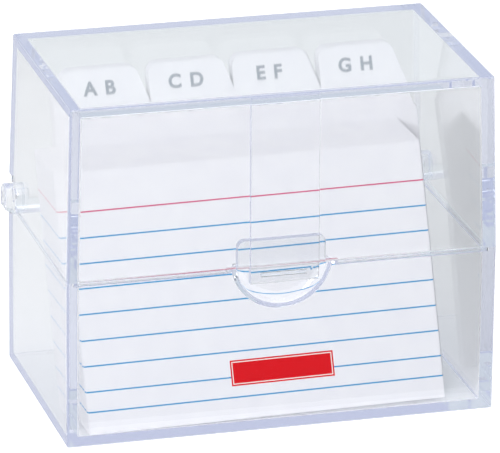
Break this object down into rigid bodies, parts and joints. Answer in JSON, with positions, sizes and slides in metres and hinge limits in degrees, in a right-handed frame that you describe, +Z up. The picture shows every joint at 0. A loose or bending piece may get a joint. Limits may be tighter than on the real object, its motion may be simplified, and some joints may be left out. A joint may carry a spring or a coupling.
{
  "type": "index card box",
  "caption": "Clear plastic box with a hinged lid for small index cards: moulded base with thumb scoop, lid with latch tongue, ruled cards and tabbed guide cards leaning inside.",
  "frame": {"origin": "centre of the base's underside, between its side walls and between its front and rear walls", "axes": "+X to the right seen from the front, -Y to the front (latch), +Z up"},
  "size_m": [0.0922, 0.0518, 0.0701],
  "materials": {
    "clear_base": "clear polystyrene, polished mould",
    "clear_lid": "clear polystyrene, polished mould",
    "ruled_cards": "smooth white index card, ruled in print",
    "guide_cards": "smooth white card stock"
  },
  "bodies": {
    "base": {"base": "clear_base"},
    "lid": {"lid": "clear_lid"},
    "cards_1": {"front_card": "ruled_cards", "ruled_cards_1": "ruled_cards"},
    "cards_2": {"ruled_cards_2": "ruled_cards"},
    "cards_3": {"ruled_cards_3": "ruled_cards"},
    "cards_4": {"ruled_cards_4": "ruled_cards"},
    "cards_5": {"ruled_cards_5": "ruled_cards"},
    "cards_6": {"ruled_cards_6": "ruled_cards"},
    "cards_7": {"ruled_cards_7": "ruled_cards"},
    "cards_8": {"ruled_cards_8": "ruled_cards"},
    "guide_ab": {"guide_ab": "guide_cards"},
    "guide_cd": {"guide_cd": "guide_cards"},
    "guide_ef": {"guide_ef": "guide_cards"},
    "guide_gh": {"guide_gh": "guide_cards"},
    "guide_ij": {"guide_ij": "guide_cards"},
    "guide_kl": {"guide_kl": "guide_cards"},
    "guide_mn": {"guide_mn": "guide_cards"},
    "guide_op": {"guide_op": "guide_cards"},
    "guide_qr": {"guide_qr": "guide_cards"},
    "guide_st": {"guide_st": "guide_cards"},
    "guide_uv": {"guide_uv": "guide_cards"},
    "guide_wz": {"guide_wz": "guide_cards"}
  },
  "joints": [
    {"name": "lid_hinge", "type": "hinge", "parent": "base", "child": "lid", "pos_m": [0, 0.0208, 0.037], "axis": [-1, 0, 0], "range_deg": [0, 95]},
    {"name": "cards_1_tilt", "type": "hinge", "parent": "base", "child": "cards_1", "pos_m": [-0.03885, -0.02274, 0.00165], "axis": [0.9996, 0.0297, 0], "range_deg": [0, 18.4]},
    {"name": "cards_2_tilt", "type": "hinge", "parent": "base", "child": "cards_2", "pos_m": [-0.03891, -0.02091, 0.00165], "axis": [0.9996, 0.0297, 0], "range_deg": [0, 17.5]},
    {"name": "cards_3_tilt", "type": "hinge", "parent": "base", "child": "cards_3", "pos_m": [-0.03896, -0.01908, 0.00165], "axis": [0.9996, 0.0297, 0], "range_deg": [0, 16.58]},
    {"name": "cards_4_tilt", "type": "hinge", "parent": "base", "child": "cards_4", "pos_m": [-0.03902, -0.01726, 0.00165], "axis": [0.9996, 0.0297, 0], "range_deg": [0, 15.66]},
    {"name": "cards_5_tilt", "type": "hinge", "parent": "base", "child": "cards_5", "pos_m": [-0.03907, -0.01543, 0.00165], "axis": [0.9996, 0.0297, 0], "range_deg": [0, 14.74]},
    {"name": "cards_6_tilt", "type": "hinge", "parent": "base", "child": "cards_6", "pos_m": [-0.03913, -0.0136, 0.00165], "axis": [0.9996, 0.0297, 0], "range_deg": [0, 13.82]},
    {"name": "cards_7_tilt", "type": "hinge", "parent": "base", "child": "cards_7", "pos_m": [-0.03918, -0.01177, 0.00165], "axis": [0.9996, 0.0297, 0], "range_deg": [0, 12.9]},
    {"name": "cards_8_tilt", "type": "hinge", "parent": "base", "child": "cards_8", "pos_m": [-0.03923, -0.00995, 0.00165], "axis": [0.9996, 0.0297, 0], "range_deg": [0, 11.98]},
    {"name": "guide_ab_tilt", "type": "hinge", "parent": "base", "child": "guide_ab", "pos_m": [-0.03929, -0.00802, 0.00165], "axis": [0.9996, 0.0297, 0], "range_deg": [0, 11.06]},
    {"name": "guide_cd_tilt", "type": "hinge", "parent": "base", "child": "guide_cd", "pos_m": [-0.0393, -0.00774, 0.00165], "axis": [0.9996, 0.0297, 0], "range_deg": [0, 10.14]},
    {"name": "guide_ef_tilt", "type": "hinge", "parent": "base", "child": "guide_ef", "pos_m": [-0.03931, -0.00746, 0.00165], "axis": [0.9996, 0.0297, 0], "range_deg": [0, 9.22]},
    {"name": "guide_gh_tilt", "type": "hinge", "parent": "base", "child": "guide_gh", "pos_m": [-0.03932, -0.00718, 0.00165], "axis": [0.9996, 0.0297, 0], "range_deg": [0, 8.3]},
    {"name": "guide_ij_tilt", "type": "hinge", "parent": "base", "child": "guide_ij", "pos_m": [-0.03932, -0.0069, 0.00165], "axis": [0.9996, 0.0297, 0], "range_deg": [0, 7.38]},
    {"name": "guide_kl_tilt", "type": "hinge", "parent": "base", "child": "guide_kl", "pos_m": [-0.03933, -0.00662, 0.00165], "axis": [0.9996, 0.0297, 0], "range_deg": [0, 6.46]},
    {"name": "guide_mn_tilt", "type": "hinge", "parent": "base", "child": "guide_mn", "pos_m": [-0.03934, -0.00634, 0.00165], "axis": [0.9996, 0.0297, 0], "range_deg": [0, 5.54]},
    {"name": "guide_op_tilt", "type": "hinge", "parent": "base", "child": "guide_op", "pos_m": [-0.03935, -0.00606, 0.00165], "axis": [0.9996, 0.0297, 0], "range_deg": [0, 4.62]},
    {"name": "guide_qr_tilt", "type": "hinge", "parent": "base", "child": "guide_qr", "pos_m": [-0.03936, -0.00579, 0.00165], "axis": [0.9996, 0.0297, 0], "range_deg": [0, 3.7]},
    {"name": "guide_st_tilt", "type": "hinge", "parent": "base", "child": "guide_st", "pos_m": [-0.03937, -0.00551, 0.00165], "axis": [0.9996, 0.0297, 0], "range_deg": [0, 2.78]},
    {"name": "guide_uv_tilt", "type": "hinge", "parent": "base", "child": "guide_uv", "pos_m": [-0.03937, -0.00523, 0.00165], "axis": [0.9996, 0.0297, 0], "range_deg": [0, 1.86]},
    {"name": "guide_wz_tilt", "type": "hinge", "parent": "base", "child": "guide_wz", "pos_m": [-0.03938, -0.00495, 0.00165], "axis": [0.9996, 0.0297, 0], "range_deg": [0, 0.94]}
  ],
  "couplings": [
    {"joint": "cards_2_tilt", "follows": "cards_1_tilt", "ratio": 0.95},
    {"joint": "cards_3_tilt", "follows": "cards_1_tilt", "ratio": 0.9},
    {"joint": "cards_4_tilt", "follows": "cards_1_tilt", "ratio": 0.85},
    {"joint": "cards_5_tilt", "follows": "cards_1_tilt", "ratio": 0.8},
    {"joint": "cards_6_tilt", "follows": "cards_1_tilt", "ratio": 0.75},
    {"joint": "cards_7_tilt", "follows": "cards_1_tilt", "ratio": 0.7},
    {"joint": "cards_8_tilt", "follows": "cards_1_tilt", "ratio": 0.65},
    {"joint": "guide_ab_tilt", "follows": "cards_1_tilt", "ratio": 0.6},
    {"joint": "guide_cd_tilt", "follows": "cards_1_tilt", "ratio": 0.55},
    {"joint": "guide_ef_tilt", "follows": "cards_1_tilt", "ratio": 0.5},
    {"joint": "guide_gh_tilt", "follows": "cards_1_tilt", "ratio": 0.45},
    {"joint": "guide_ij_tilt", "follows": "cards_1_tilt", "ratio": 0.4},
    {"joint": "guide_kl_tilt", "follows": "cards_1_tilt", "ratio": 0.35},
    {"joint": "guide_mn_tilt", "follows": "cards_1_tilt", "ratio": 0.3},
    {"joint": "guide_op_tilt", "follows": "cards_1_tilt", "ratio": 0.25},
    {"joint": "guide_qr_tilt", "follows": "cards_1_tilt", "ratio": 0.2},
    {"joint": "guide_st_tilt", "follows": "cards_1_tilt", "ratio": 0.15},
    {"joint": "guide_uv_tilt", "follows": "cards_1_tilt", "ratio": 0.1},
    {"joint": "guide_wz_tilt", "follows": "cards_1_tilt", "ratio": 0.05}
  ]
}
